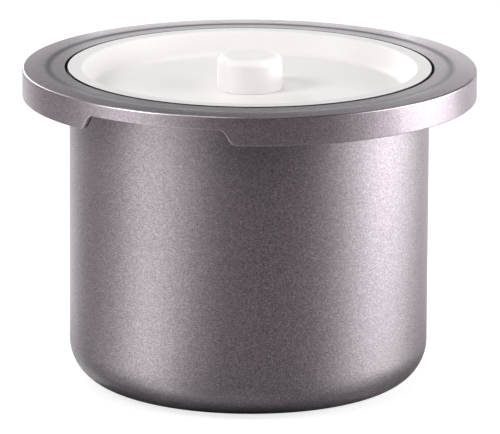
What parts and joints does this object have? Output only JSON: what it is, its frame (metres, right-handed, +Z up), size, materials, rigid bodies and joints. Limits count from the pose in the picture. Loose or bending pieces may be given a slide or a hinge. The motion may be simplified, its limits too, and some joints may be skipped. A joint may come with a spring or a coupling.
{
  "type": "wax warmer pot",
  "caption": "Round removable inner pot for melting wax, with a wide skirted collar cut with finger notches and a dished drop-in lid with a central knob.",
  "frame": {"origin": "centre of the pot's flat base, which is the bottom centre of the whole object", "axes": "+Z up along the pot's axis; the finger notches in the collar face -Y and +Y"},
  "size_m": [0.152, 0.152, 0.1114],
  "materials": {
    "pot_paint": "satin pearl mauve-grey metallic paint",
    "collar_paint": "satin mauve-grey metallic paint over moulded plastic",
    "gasket": "matt silicone",
    "screw_steel": "bright zinc plate",
    "lid_plastic": "satin moulded",
    "knob_plastic": "satin moulded",
    "insert_brass": "knurled, unpolished"
  },
  "bodies": {
    "pot": {"pot_shell": "pot_paint", "rim_collar": "collar_paint", "collar_gasket": "gasket", "collar_screws": "screw_steel"},
    "lid": {"lid_dish": "lid_plastic", "lid_knob": "knob_plastic", "knob_insert": "insert_brass", "knob_washer": "screw_steel", "knob_screw": "screw_steel"}
  },
  "joints": [
    {"name": "lid_lift", "type": "slide", "parent": "pot", "child": "lid", "axis": [0, 0, 1], "range_m": [0, 0.08]}
  ]
}
